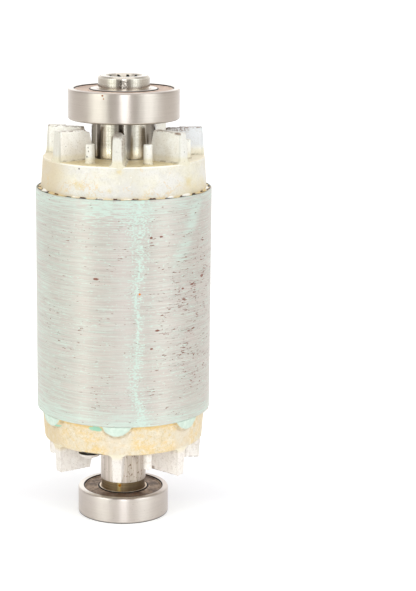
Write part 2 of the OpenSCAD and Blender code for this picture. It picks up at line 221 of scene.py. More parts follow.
class Paint:
    """A material's node tree. Each method adds nodes and returns the socket with the result."""

    def __init__(self, name, **values):
        self.material = bpy.data.materials.new(name)
        self.material.use_nodes = True
        self.tree = self.material.node_tree
        self.shader = self.tree.nodes["Principled BSDF"]
        for socket, value in values.items():
            self.shader.inputs[socket.replace("_", " ")].default_value = value
        place = self.add("ShaderNodeTexCoord").outputs["Object"]
        self.place = self.vector("MULTIPLY", place, (1 / MM,) * 3)
        axes = self.add("ShaderNodeSeparateXYZ", self.place).outputs
        self.z = axes["Z"]
        self.radius = self.math("SQRT", self.math("ADD", self.math("MULTIPLY", axes["X"], axes["X"]),
                                                  self.math("MULTIPLY", axes["Y"], axes["Y"])))
        turn = self.math("ARCTAN2", axes["X"], self.math("MULTIPLY", axes["Y"], -1.0))
        self.angle = self.math("DEGREES", turn)

    def add(self, kind, *values, **settings):
        made = self.tree.nodes.new(kind)
        for key, value in settings.items():
            setattr(made, key, value)
        for socket, value in zip(made.inputs, values):
            self.feed(socket, value)
        return made

    def feed(self, socket, value):
        if isinstance(value, bpy.types.NodeSocket):
            self.tree.links.new(value, socket)
        elif value is not None:
            socket.default_value = value

    def math(self, operation, *values):
        return self.add("ShaderNodeMath", *values, operation=operation).outputs[0]

    def vector(self, operation, *values):
        return self.add("ShaderNodeVectorMath", *values, operation=operation).outputs[0]

    def noise(self, size, detail=2.0, rough=0.5, seed=0.0):
        """Noise from 0 to 1 with features of about that size, one number or one for each axis."""
        sizes = (size,) * 3 if isinstance(size, (int, float)) else size
        place = self.vector("ADD", self.vector("DIVIDE", self.place, sizes), (seed, -seed, 2 * seed))
        made = self.add("ShaderNodeTexNoise", place)
        made.inputs["Scale"].default_value = 1.0
        made.inputs["Detail"].default_value = detail
        made.inputs["Roughness"].default_value = rough
        return made.outputs[0]

    def ease(self, value, start, end):
        """0 at the start, 1 at the end, and smooth between them."""
        low, high = min(start, end), max(start, end)
        made = self.add("ShaderNodeMapRange", value, low, high, interpolation_type="SMOOTHSTEP")
        result = made.outputs[0]
        return result if end > start else self.math("SUBTRACT", 1.0, result)

    def between(self, value, low, high, soft):
        """1 from low to high, with soft edges."""
        return self.product(self.ease(value, low - soft, low + soft),
                            self.ease(value, high + soft, high - soft))

    def scale(self, value, factor):
        return self.math("MULTIPLY", value, factor)

    def joined(self, operation, values):
        """The values put together one after another."""
        result = values[0]
        for value in values[1:]:
            result = self.math(operation, result, value)
        return result

    def total(self, *values):
        return self.joined("ADD", values)

    def product(self, *values):
        return self.joined("MULTIPLY", values)

    def highest(self, *values):
        return self.joined("MAXIMUM", values)

    def off(self, value, place):
        """Distance of a value from a place."""
        return self.math("ABSOLUTE", self.math("SUBTRACT", value, place))

    def up(self, start, end, *shifts):
        """Ease over the height, which shifts may make ragged."""
        return self.ease(self.total(self.z, *shifts), start, end)

    def out(self, start, end, *shifts):
        """Ease over the radius, which shifts may make ragged."""
        return self.ease(self.total(self.radius, *shifts), start, end)

    def about(self, angle, start, end):
        """Ease over the degrees from an angle, to both sides of it."""
        return self.ease(self.off(self.angle, angle), start, end)

    def band(self, low, high, soft):
        """1 from one height to another, with soft edges."""
        return self.between(self.z, low, high, soft)

    def sector(self, low, high, soft):
        """1 from one angle to another, with soft edges."""
        return self.between(self.angle, low, high, soft)

    def flank(self, start, end, *shifts):
        """0 at the first angle, 1 at the second, which shifts may make ragged, and 0 again at the back."""
        back = math.copysign(178, end)
        return self.product(self.ease(self.total(self.angle, *shifts), start, end),
                            self.ease(self.angle, back, back * 0.75))

    def from_nearest(self, step):
        """Degrees from the nearest of the places that repeat by the step from the first blade."""
        turn = self.math("WRAP", self.total(self.angle, -BLADE_PHASE), step / 2, -step / 2)
        return self.math("ABSOLUTE", turn)

    def curve(self, value, points):
        """Smooth curve through points, whose places and heights run from 0 to 1."""
        made = self.add("ShaderNodeFloatCurve", None, value)
        line = made.mapping.curves[0].points
        line[0].location, line[1].location = points[0], points[-1]
        for place, height in points[1:-1]:
            line.new(place, height)
        made.mapping.update()
        return made.outputs[0]

    def away(self, at_radius, angle, z, wide):
        """Distance from a place on a round face, with its part across the face divided by wide."""
        per_degree = at_radius * math.pi / 180
        across = self.scale(self.math("SUBTRACT", self.angle, angle), per_degree / wide)
        along = self.math("SUBTRACT", self.z, z)
        return self.math("SQRT", self.total(self.math("MULTIPLY", across, across),
                                            self.math("MULTIPLY", along, along)))

    def spot(self, at_radius, angle, z, radius, wide=1.0, seed=0.0):
        """Small ragged spot on a round face, wider than high where wide is above 1."""
        away = self.away(at_radius, angle, z, wide)
        ragged = self.total(away, self.scale(self.noise(radius, 2.0, seed=seed), radius), -radius / 2)
        return self.ease(ragged, radius * 1.15, radius * 0.75)

    def spots(self, at_radius, places):
        """Spots at places that are given as to spot."""
        return self.highest(*[self.spot(at_radius, *place) for place in places])

    def stain(self, at_radius, angle, z, radius, wide=1.0, seed=0.0):
        """Torn cloud round a place on a round face, thinner away from it."""
        near = self.ease(self.away(at_radius, angle, z, wide), radius, 0.0)
        cloud = self.noise(radius * 0.45, 4.0, 0.65, seed=seed)
        return self.product(near, self.ease(self.total(cloud, self.scale(near, 0.2)), 0.5, 0.72))

    def mix(self, share, first, second):
        """Colour that goes from the first to the second as the share goes from 0 to 1."""
        made = self.add("ShaderNodeMix", data_type="RGBA")
        self.feed(made.inputs[0], share)
        for socket, colour in ((made.inputs[6], first), (made.inputs[7], second)):
            self.feed(socket, rgb(colour) if isinstance(colour, str) else colour)
        return made.outputs[2]

    def layers(self, colour, *coats):
        """The colour under coats, each a colour and shares whose product says how much it covers."""
        for second, *shares in coats:
            colour = self.mix(self.product(*shares), colour, second)
        return colour

    def blend(self, share, first, second):
        """Number that goes from the first to the second as the share goes from 0 to 1."""
        made = self.add("ShaderNodeMix", data_type="FLOAT")
        for socket, value in zip(made.inputs[0:1] + made.inputs[2:4], (share, first, second)):
            self.feed(socket, value)
        return made.outputs[0]

    def finish(self, colour, roughness=None, metallic=None, relief=None, depth=0.1):
        """Links the results to the shader. depth is the relief's height in millimetres."""
        self.feed(self.shader.inputs["Base Color"], colour)
        self.feed(self.shader.inputs["Roughness"], roughness)
        self.feed(self.shader.inputs["Metallic"], metallic)
        if relief:
            bump = self.add("ShaderNodeBump")
            bump.inputs["Distance"].default_value = depth * MM
            self.feed(bump.inputs["Height"], relief)
            self.feed(self.shader.inputs["Normal"], bump.outputs[0])
        return self.material

    def brushed(self):
        """Turns the anisotropic gloss so that highlights spread along the shaft."""
        tangent = self.add("ShaderNodeTangent", direction_type="RADIAL", axis="Z").outputs[0]
        self.feed(self.shader.inputs["Tangent"], tangent)
        self.shader.inputs["Anisotropic Rotation"].default_value = 0.25


# Materials

# Angle of the lacquer seam on the core at some heights
SEAM = [(63, 11.0), (69, 11.8), (80, 8.6), (86, 7.7), (97, 7.7), (115, 9.3), (125, 9.7), (133, 7.7),
        (147, 9.2), (158, 10.8), (164, 9.2), (191, 9.1)]
SEAM_REACH = 20.0

# Lacquer smear on the core's right: its angle at a height, and the degrees it leans per millimetre
SMEAR_ANGLE = 36
SMEAR_Z = 152
SMEAR_LEAN = 0.56

# Angle between the spline's teeth, and of the first space between two of them
SPLINE_STEP = 360.0 / 11
SPACE_PHASE = (180.0 + SPLINE_STEP / 2) % SPLINE_STEP

# Heights on the shaft: the top of the part under the upper bearing, the stub above that bearing,
# the mouth of the socket, the end of the thinner tail and the top of the lower journal
NECK_TOP = 228.5
STUB = (245.6, 250.4)
MOUTH_Z = 252.0
TAIL_TOP = 70.0
JOURNAL_TOP = 20.3

# Radii of the other faces that the marks below are on
WALL_R = 46.0
PIN_FACE_R = 36.0
UPPER_BEARING_R = 31.0

# Marks: angle, height, size, how much wider than high, and seed
PITS = [(-17.7, 146.8, 0.7, 2.2, 0), (17.6, 169.4, 0.6, 1.6, 1), (24.3, 169.7, 0.5, 2.2, 2),
        (61.4, 144, 0.9, 2.0, 3), (49.5, 141, 0.6, 2.4, 4), (41, 139.6, 0.5, 2.0, 5),
        (22, 118, 0.6, 2.2, 6), (18, 108, 0.5, 2.0, 7)]
CORE_RUST = (10.2, 138.7, 0.6)
RING_STAINS = [(-3, 204.8, 3.0, 1.3, 1), (50, 197.5, 6.5, 1.0, 2), (-9.5, 194.5, 2.6, 1.0, 4),
               (-32, 196, 6.0, 1.2, 5)]
RING_HOLE = (-32, 205.5, 0.45, 1.0, 3)
RING_SCRATCHES = [(-2.9, 198.5, 0.9, 0.3, 6), (4, 196.8, 0.35, 2.4, 7), (5, 201.9, 0.3, 1.8, 8)]
LACQUER_SMEARS = [(-19, 61.8, 1.5, 2.6, 1), (-50, 59.8, 0.8, 2.6, 2)]
PIN_SPECKS = [(-30, 216.2, 0.5, 0.6, 1), (-29.6, 214.2, 0.5, 0.6, 2), (-31, 211.2, 0.6, 0.8, 3)]
BEARING_RUST = [(-21.9, 243.6, 0.55, 1.0, 1), (-20.6, 241.9, 0.4, 1.0, 2)]
TAIL_HOLE = (52, 44.5, 1.4, 0.7, 5)
JOURNAL_RUST = (-9, 18.4, 0.9, 1.0, 4)


def core_material():
    """Turned laminations with remnants of mint lacquer and brown pits."""
    paint = Paint("core_lacquered_steel", Anisotropic=0.6)
    paint.brushed()
    lines = paint.noise((26, 26, 0.36), 3.0, 0.6, seed=1)
    broad = paint.noise((40, 40, 18), 2.0, seed=2)

    # Seam where the lacquer ran down, broken into dots, with splatters beside it
    core_h = CORE_TOP - CORE_LOW
    share = paint.scale(paint.total(paint.z, -CORE_LOW), 1 / core_h)
    route = [((z - CORE_LOW) / core_h, angle / SEAM_REACH) for z, angle in SEAM]
    seam = paint.scale(paint.curve(share, route), SEAM_REACH)
    jitter = paint.scale(paint.total(paint.noise((900, 900, 1.4), 3.0, 0.65, seed=4), -0.5), 6.0)
    beside = paint.scale(paint.off(paint.angle, paint.total(seam, jitter)), CORE_R * math.pi / 180)
    dots = paint.ease(paint.noise((1.5, 1.5, 0.9), 2.0, seed=3), 0.44, 0.51)
    seam_line = paint.product(paint.ease(beside, 0.75, 0.35), dots, paint.up(166, 152))
    drops = paint.noise((1.4, 1.4, 0.65), 2.0, 0.6, seed=5)
    high = paint.up(158, 176)
    spread = paint.blend(high, paint.blend(paint.band(112, 136, 8), 8.0, 4.5), 12.0)
    halo = paint.ease(paint.math("DIVIDE", beside, spread), 1.0, 0.05)
    thicker = paint.product(halo, paint.blend(high, 0.147, 0.172))
    splatter = paint.ease(paint.total(drops, thicker), 0.65, 0.67)

    # Lacquer left in streaks, most of it near the ends and on the left
    streaks = paint.noise((14, 14, 0.42), 3.0, 0.65, seed=6)
    top_band = paint.scale(paint.up(CORE_TOP - 14, CORE_TOP - 2), 0.1)
    front_low = paint.blend(paint.sector(-8, 16, 5), 0.13, 0.24)
    low_band = paint.product(paint.up(CORE_LOW + 13, CORE_LOW + 1), front_low)
    left = paint.scale(paint.flank(-12, -65), 0.08)
    patch = paint.product(paint.sector(-28, 12, 10), paint.up(168, 188), 0.17)
    chipped = paint.noise((6, 6, 0.75), 3.0, 0.6, seed=9)
    flakes = paint.ease(paint.total(chipped, patch), 0.63, 0.66)
    smear_angle = paint.total(paint.scale(paint.z, SMEAR_LEAN), SMEAR_ANGLE - SMEAR_Z * SMEAR_LEAN)
    smear = paint.product(paint.about(smear_angle, 9, 1), paint.band(153, 186, 5), 0.15)
    wet = paint.total(streaks, top_band, low_band, left, smear)
    haze = paint.scale(paint.ease(wet, 0.42, 0.66), 0.42)
    streaked = paint.scale(paint.ease(wet, 0.62, 0.68), 0.8)
    lacquer = paint.highest(seam_line, splatter, paint.scale(flakes, 0.85), streaked, haze)

    # Brown pits, long and torn, in clusters low on the right and rare elsewhere
    chips = paint.noise((3.2, 3.2, 0.6), 2.0, 0.6, seed=7)
    trails = paint.noise((8, 8, 0.42), 3.0, 0.65, seed=10)
    clusters = paint.scale(paint.noise((9, 9, 5), 2.0, seed=8), 0.34)
    right = paint.product(paint.ease(paint.angle, 10, 40), paint.ease(paint.angle, 125, 100))
    likely = paint.total(clusters, paint.product(right, paint.band(82, 164, 14), 0.067))
    pits = paint.highest(
        paint.ease(paint.total(chips, likely), 0.88, 0.9),
        paint.scale(paint.ease(paint.total(trails, likely), 0.89, 0.91), 0.85),
        paint.spots(CORE_R, PITS))

    # Ends of the stack: painted dark between the bars, partly as painted shade in the recess there and
    # partly as dark steel, and in places stained like them
    end = paint.highest(paint.up(CORE_TOP - 0.7, CORE_TOP - 0.2), paint.up(CORE_LOW + 0.7, CORE_LOW + 0.2))
    inside = paint.product(end, paint.out(CORE_R - 0.5, CORE_R - 0.9))
    stained = paint.ease(paint.noise((7, 7, 400), 2.0, seed=16), 0.52, 0.56)

    colour = paint.layers(
        paint.mix(paint.ease(lines, 0.36, 0.64), "#ada29a", "#bdb1a9"),
        ("#b7b0a4", paint.ease(broad, 0.35, 0.7), 0.2),
        ("#b6cdc0", lacquer, 0.75),
        # Painted shade: a slightly darker band down the front
        ("#8d857e", paint.about(1.5, 11, 4), 0.1),
        # Painted highlights: two lighter bands down the sides, where the side softboxes reflect
        ("#dacfc4", paint.highest(paint.sector(-31, -22, 4), paint.sector(19, 31, 4)), 0.1),
        ("#6e2f12", pits, 0.9),
        ("#d07a1c", paint.spot(CORE_R, *CORE_RUST)),
        (paint.mix(stained, "#1f0d06", "#c9a763"), inside))
    covered = paint.highest(lacquer, pits, inside)
    relief = paint.total(paint.scale(lines, 0.4), paint.scale(lacquer, 0.5), paint.scale(pits, -1.5))
    rough = paint.blend(covered, 0.44, 0.5)
    return paint.finish(colour, rough, paint.blend(covered, 0.5, 0.0), relief, 0.04)


def upper_ring_material():
    """Cast aluminium under a thin, yellowed lacquer."""
    paint = Paint("upper_ring_cast")
    blotch = paint.noise((15, 15, 9), 3.0, 0.6, seed=11)
    cloud = paint.noise(3.2, 4.0, 0.65, seed=12)
    grain = paint.noise(0.8, 3.0, 0.6, seed=13)
    middle = paint.between(paint.total(paint.angle, paint.scale(cloud, 12.0)), 0, 18, 6)
    sides = paint.about(0.0, 40, 58)

    # Yellow veins, torn stains near the front blade and on both sides, and a yellow foot
    veins = paint.ease(paint.off(paint.noise(6.0, 3.0, seed=14), 0.5), 0.022, 0.004)
    veined = paint.ease(paint.noise((16, 16, 9), 2.0, seed=15), 0.48, 0.62)
    stains = paint.highest(*[paint.stain(WALL_R, *stain) for stain in RING_STAINS])
    wash = paint.product(paint.sector(40, 80, 10), paint.up(203, 196, paint.scale(cloud, 8.0)))
    foot = paint.up(CORE_TOP + 3.2, CORE_TOP + 1.4, paint.scale(cloud, 3.0))

    # Dark dashes at the foot between the bars, partly painted shade and partly dark stain, and white flash
    # over the bars' ends
    torn = paint.noise(1.5, 2.0, seed=17)
    gap = paint.total(paint.from_nearest(BAR_STEP), paint.scale(torn, 2.4))
    dash = paint.product(
        paint.ease(gap, 3.5, 3.0),
        paint.up(CORE_TOP + 0.95, CORE_TOP + 0.75, paint.scale(torn, 0.8)),
        paint.ease(paint.noise((9, 9, 400), 1.0, seed=18), 0.4, 0.44))
    flash = paint.out(RING_ROOT_R + 0.35, RING_ROOT_R + 0.7, paint.scale(grain, 0.4))

    # Painted highlight along the rim, and yellow top face
    rim = paint.product(paint.band(UPPER_FACE - 0.9, UPPER_FACE - 0.25, 0.2),
                        paint.out(RING_FACE_R - 0.75, RING_FACE_R - 0.45))
    face = paint.up(UPPER_FACE - 0.35, UPPER_FACE - 0.1)

    colour = paint.layers(
        paint.mix(paint.ease(blotch, 0.36, 0.66), "#d0cac3", "#d4ccb9"),
        ("#bdb5a8", paint.ease(cloud, 0.5, 0.68), 0.3),
        ("#ddd6c8", paint.ease(cloud, 0.47, 0.34), 0.35),
        ("#b3a68c", paint.ease(grain, 0.5, 0.68), 0.3),
        ("#bea985", paint.flank(-28, -52, paint.scale(cloud, 14.0)), 0.65),
        ("#beb8ae", middle, 0.5),
        ("#d2a95a", veins, veined, 0.45),
        ("#c9b06c", stains, 0.5),
        ("#ccb57e", wash, 0.4),
        ("#d8ba78", foot, 0.4),
        ("#552210", dash),
        ("#f3eee6", flash, 0.8),
        ("#f2ede2", rim, paint.blend(sides, 0.6, 0.25)),
        (paint.mix(sides, "#e0ca8e", "#f5ead2"), face, paint.blend(sides, 0.65, 0.95)),
        ("#a58b55", face, paint.ease(cloud, 0.5, 0.62), paint.blend(sides, 0.45, 0.1)),
        ("#4a3a30", paint.spot(WALL_R, *RING_HOLE)),
        ("#fbf8f2", paint.spots(WALL_R, RING_SCRATCHES), 0.22))
    rough = paint.blend(paint.ease(grain, 0.4, 0.7), 0.48, 0.62)
    return paint.finish(colour, rough, 0.15, paint.total(cloud, paint.scale(grain, 0.6)), 0.15)


def lower_ring_material():
    """Cast aluminium under golden lacquer, with mint lugs that are flush with the core."""
    paint = Paint("lower_ring_cast")
    blotch = paint.noise((10, 10, 6), 3.0, 0.6, seed=21)
    cloud = paint.noise(2.6, 4.0, 0.65, seed=22)
    grain = paint.noise(0.8, 3.0, 0.6, seed=23)
    flecks = paint.noise(2.6, 3.0, 0.6, seed=24)
    from_lug = paint.total(paint.from_nearest(BLADE_STEP), paint.scale(cloud, 10.0))
    gold = paint.up(CORE_LOW + 0.2, CORE_LOW + 1.6, paint.scale(cloud, 6.0))
    # Bare flanks of the lugs, painted darker, partly as painted shade under the lugs
    slope = paint.out(RING_ROOT_R + 0.4, RING_ROOT_R + 1.0, paint.scale(grain, 0.5))
    lug = paint.out(CORE_R - 0.45, CORE_R - 0.2)
    # A dark line painted along the lower edge, beside the washer
    dark_edge_line = paint.product(paint.sector(-31, -15, 2), paint.up(47.4, 46.9))
    colour = paint.layers(
        paint.mix(paint.ease(blotch, 0.36, 0.66), "#cdbea4", "#d3b98b"),
        ("#cfc6b8", paint.ease(cloud, 0.5, 0.66), 0.55),
        ("#ceac66", paint.ease(cloud, 0.47, 0.34), 0.45),
        ("#a98f62", paint.ease(grain, 0.5, 0.68), 0.35),
        ("#c9beb0", paint.ease(from_lug, 16, 9), 0.45),
        ("#ded6c8", paint.ease(flecks, 0.55, 0.68), 0.35),
        ("#b0966a", paint.ease(flecks, 0.42, 0.32), 0.3),
        ("#b79c66", paint.flank(-30, -52, paint.scale(cloud, 14.0)), 0.36),
        ("#d4ae60", gold, 0.65),
        ("#a08e70", slope, paint.ease(cloud, 0.36, 0.6), 0.65),
        ("#8fbba2", paint.spots(WALL_R, LACQUER_SMEARS)),
        (paint.mix(paint.ease(cloud, 0.4, 0.65), "#b4c1b3", "#c0cabd"), lug),
        ("#b39e76", paint.up(LOWER_FACE + 0.5, LOWER_FACE + 0.1), 0.5),
        ("#2a2019", dark_edge_line))
    rough = paint.blend(paint.ease(grain, 0.4, 0.7), 0.45, 0.6)
    relief = paint.total(cloud, paint.scale(grain, 0.6))
    return paint.finish(colour, rough, paint.blend(lug, 0.15, 0.0), relief, 0.16)


def blade_material():
    """Bare cast aluminium, grainy, with brown along the edges of its worn tips."""
    paint = Paint("blade_cast")
    cloud = paint.noise(4.5, 3.0, seed=31)
    grain = paint.noise(0.8, 3.0, 0.65, seed=32)
    specks = paint.noise((2.6, 2.6, 0.8), 3.0, 0.6, seed=33)
    mottles = paint.noise(2.2, 4.0, 0.65, seed=35)
    from_blade = paint.from_nearest(BLADE_STEP)
    low = paint.up(48, 45)

    # Painted shade on the outer ends, the pins and the lower blades, which get the most light, lightened
    # again on the right, and painted highlights on flat sides that catch the light
    painted_shade_ends = paint.highest(
        paint.out(RING_FACE_R - 2.2, RING_FACE_R - 1.6),
        paint.scale(paint.ease(from_blade, 17, 19), 0.35),
        paint.scale(paint.up(60, 50), 0.4))
    painted_light_right = paint.product(paint.ease(paint.angle, 10, 40), paint.up(100, 110))
    inward = paint.out(RING_FACE_R - 1.6, RING_FACE_R - 2.2)
    light = paint.highest(
        paint.product(paint.sector(-74, -40, 4), paint.up(205, 210), inward, 0.7),
        paint.product(paint.sector(34, 64, 4), paint.up(50, 46), 0.5))

    # Roots, and dark brown patches where the upper blades meet the ring
    roots = paint.highest(paint.band(UPPER_FACE - 4, UPPER_FACE + 3.0, 1.5),
                          paint.band(LOWER_FACE - 2.0, LOWER_FACE + 4, 1.5))
    root_dark_patches = paint.product(
        paint.band(UPPER_FACE - 0.2, UPPER_FACE + 0.6, 0.3),
        paint.out(RING_FACE_R - 1.2, RING_FACE_R - 2.0),
        paint.ease(specks, 0.42, 0.58))

    # Long edges of the tips, two of which are lower than the rest
    across = paint.product(paint.radius, paint.math("SINE", paint.math("RADIANS", from_blade)))
    at_edge = paint.ease(across, BLADE_TIP_W / 2 - 0.6, BLADE_TIP_W / 2 - 0.25)
    low_tip = paint.highest(paint.sector(80, 116, 2), paint.sector(-125, -88, 2))
    below_tip = paint.math("SUBTRACT", paint.total(UPPER_TIP, paint.scale(low_tip, -1.1)), paint.z)
    at_tip = paint.highest(paint.ease(below_tip, 1.0, 0.5), paint.up(LOWER_TIP + 1.0, LOWER_TIP + 0.3))
    broken = paint.product(paint.about(BLADE_PHASE, 11, 8),
                           paint.up(223.4, 224.6, paint.scale(specks, 3.0)))

    # Brown on the front blade's right side, partly painted shade and partly wear, on a lower blade's inner
    # corner and at two upper tips
    brown = paint.highest(
        paint.product(paint.sector(BLADE_PHASE + 3, BLADE_PHASE + 12, 0.5), at_edge, paint.up(209, 216),
                      paint.ease(specks, 0.4, 0.6)),
        paint.product(paint.sector(38, 56, 2), paint.out(27.5, 26), paint.up(33.2, 32)),
        paint.product(paint.sector(42, 52, 1), paint.out(39, 41), at_edge, paint.ease(below_tip, 1.6, 1.2)),
        paint.product(paint.sector(84, 118, 2), paint.out(38, 34), paint.ease(below_tip, 3.2, 1.6),
                      paint.ease(grain, 0.46, 0.54)))
    black = paint.highest(paint.ease(paint.noise(0.9, 1.0, seed=34), 0.75, 0.78),
                          paint.spots(PIN_FACE_R, PIN_SPECKS))

    colour = paint.layers(
        paint.mix(paint.ease(cloud, 0.36, 0.64), "#e2dcd1", "#eae6de"),
        (paint.mix(painted_light_right, "#cac4b9", "#d6d1c8"), painted_shade_ends),
        ("#c8cad0", paint.sector(84, 112, 2), paint.up(210, 214), 0.6),
        ("#f9efe4", light, 0.5),
        ("#b0a28c", paint.ease(grain, 0.5, 0.7), 0.32),
        ("#e8dbd9", low, 0.3),
        ("#b3a498", low, paint.ease(mottles, 0.5, 0.64), 0.4),
        ("#d3c28d", roots, 0.35),
        ("#c4ac80", roots, low, paint.sector(-84, -40, 4), 0.5),
        ("#86704c", root_dark_patches, 0.6),
        ("#6e4e3a", at_edge, at_tip, paint.ease(specks, 0.46, 0.6), 0.7),
        ("#7a6650", at_tip, paint.ease(grain, 0.56, 0.66), 0.5),
        ("#6b5a4a", broken, 0.6),
        ("#76583f", brown, 0.7),
        ("#4a4038", black, 0.8))
    rough = paint.blend(paint.ease(grain, 0.4, 0.7), 0.42, 0.62)
    return paint.finish(colour, rough, 0.15, paint.total(grain, paint.scale(cloud, 0.6)), 0.15)


def bar_material():
    """Ends of the cage bars, cast aluminium stained by lacquer."""
    paint = Paint("bar_cast", Metallic=0.2)
    cloud = paint.noise(2.0, 3.0, seed=41)
    colour = paint.mix(paint.ease(cloud, 0.35, 0.65), "#e6c684", "#f0e2bd")
    return paint.finish(colour, paint.blend(cloud, 0.45, 0.65), None, cloud, 0.1)


def washer_material():
    """Dull plated steel, with painted shade on the side that faces the ring, where the gap under the ring
    lies.
    """
    paint = Paint("washer_plated", Metallic=0.6)
    cloud = paint.noise(1.5, 3.0, seed=45)
    colour = paint.layers(
        paint.mix(paint.ease(cloud, 0.35, 0.65), "#c2b7ad", "#d2cac2"),
        # Painted shade: the top face is near black, for the dark gap under the ring
        ("#120e0b", paint.up(WASHER_TOP - 0.25, WASHER_TOP - 0.1)))
    return paint.finish(colour, paint.blend(cloud, 0.35, 0.55), None, cloud, 0.05)


def bearing_material(name, side, dark, light, shade_angle, gilded):
    """Ground bearing steel with fine marks. Its flat face carries a painted highlight, with painted shade
    about one angle, and its inner ring is gilded by some share."""
    paint = Paint(name, Metallic=1.0, Anisotropic=0.85)
    paint.brushed()
    low, top = heights(f"{side}_bearing_outer_ring")
    inner_r = reach(f"{side}_bearing_inner_ring")
    seal_r = reach(f"{side}_bearing_top_seal")
    marks = paint.noise((30, 30, 0.4), 3.0, 0.6, seed=51)
    dust = paint.noise(0.7, 2.0, seed=52)
    rust = paint.spots(UPPER_BEARING_R, BEARING_RUST)
    flat = paint.up(top - 0.35, top - 0.1)
    colour = paint.layers(
        paint.mix(paint.ease(marks, 0.3, 0.7), dark, light),
        ("#8a7d70", paint.ease(dust, 0.68, 0.74), 0.5),
        ("#a5672c", rust),
        # Painted dark reflection along the bottom corner
        ("#6e5e52", paint.up(low + 0.8, low + 0.3), 0.5),
        # Painted highlight on the flat top faces
        ("#f1ebe4", flat, 0.8),
        # Painted shade on the flat face about one angle
        ("#a08c84", flat, paint.about(shade_angle, 75, 45), 0.45),
        ("#c09c5e", flat, paint.out(inner_r, inner_r - 0.4), gilded),
        # Painted shade: black where the rings border the gaps to the seals
        ("#14100d", paint.between(paint.radius, inner_r - 0.12, seal_r + 0.16, 0.06)))
    rough = paint.blend(paint.ease(dust, 0.6, 0.75), 0.33, 0.42)
    return paint.finish(colour, paint.highest(rough, paint.scale(rust, 0.8)), None, marks, 0.0006)


def shaft_material():
    """Ground shaft: polished above, streaked and specked below the core, with a bronzed lower journal."""
    paint = Paint("shaft_ground", Anisotropic=0.5)
    paint.brushed()
    turned = paint.noise((20, 20, 0.3), 3.0, 0.6, seed=61)
    down = paint.noise((1.1, 1.1, 26), 3.0, 0.6, seed=62)
    specks = paint.noise((0.9, 0.9, 1.3), 2.0, seed=63)
    etching = paint.noise(0.7, 2.0, seed=64)

    # Tail below the core
    right = paint.flank(-8, 12)
    chance = paint.total(specks, paint.scale(right, 0.05))
    tail = paint.layers(
        paint.mix(paint.ease(down, 0.36, 0.66), "#b4a89d", "#d6cac1"),
        ("#9c8c78", right, 0.4),
        ("#5f4226", paint.ease(chance, 0.68, 0.72), 0.8),
        ("#452b17", paint.spot(TAIL_R, *TAIL_HOLE)))

    # Neck under the upper bearing, with a painted reflection as a pale foot and painted dark reflections as
    # stripes, and the stub above it, with a painted highlight on its lip, a dark etched patch, and the
    # socket's shaded spaces and bore
    neck = paint.band(UPPER_FACE - 1, NECK_TOP, 0.3)
    # Painted dark reflections of the blades and the bearing, as stripes round the neck
    painted_dark_reflections = paint.highest(
        paint.scale(paint.sector(-120, -57, 3), 0.68),
        paint.scale(paint.sector(-55, -45, 2), 0.85),
        paint.scale(paint.sector(-22, -10, 3), 0.3),
        paint.product(paint.sector(-9.5, 0.5, 1.5), paint.up(219, 221), 0.97),
        paint.scale(paint.sector(1, 13, 2), 0.62),
        paint.product(paint.sector(41, 100, 3), paint.up(213, 217), 0.6))
    stub = paint.band(*STUB, 0.3)
    from_space = paint.off(paint.math("WRAP", paint.angle, SPLINE_STEP, 0.0), SPACE_PHASE)
    socket = paint.highest(
        paint.product(paint.ease(from_space, 9.0, 7.0), paint.out(9.9, 9.5),
                      paint.up(MOUTH_Z + 0.05, MOUTH_Z - 0.25)),
        paint.product(paint.out(8.4, 8.1), paint.up(MOUTH_Z - 2.2, MOUTH_Z - 2.8)))
    bright = paint.layers(
        paint.mix(paint.ease(turned, 0.3, 0.7), "#bbb1a2", "#c9c0b3"),
        # Painted reflection: pale foot of the neck, at the front
        ("#f7eedd", neck, paint.up(215.5, 211), paint.about(-3, 60, 44), 0.85),
        ("#433a31", neck, painted_dark_reflections),
        # Painted highlight on the stub's lip
        ("#ebe6de", paint.up(MOUTH_Z - 1.7, MOUTH_Z - 1.1), 0.25),
        ("#8a8078", stub, 0.22),
        ("#4f463e", paint.sector(-11, 9, 4), stub, paint.ease(etching, 0.38, 0.54), 0.85),
        ("#1d1814", socket))

    # Lower journal, darker on the right, with a painted highlight as a gold stripe and a spot of rust
    band = paint.layers(
        paint.mix(paint.ease(turned, 0.3, 0.7), "#6c5940", "#8a7555"),
        ("#5b4832", paint.flank(0, 25), 0.7),
        # Painted highlight: a gold stripe down the journal
        ("#dcc078", paint.sector(-14, -8, 5), paint.ease(down, 0.15, 0.45), 0.85),
        ("#a8680f", paint.spot(TAIL_R, *JOURNAL_RUST)))

    below = paint.up(TAIL_TOP, TAIL_TOP - 4)
    journal = paint.up(JOURNAL_TOP, JOURNAL_TOP - 0.4)
    colour = paint.layers(bright, (tail, below), (band, journal))
    rough = paint.total(0.17, paint.scale(below, 0.17), paint.scale(journal, 0.02))
    return paint.finish(colour, rough, paint.blend(journal, 0.95, 0.7), turned, 0.006)


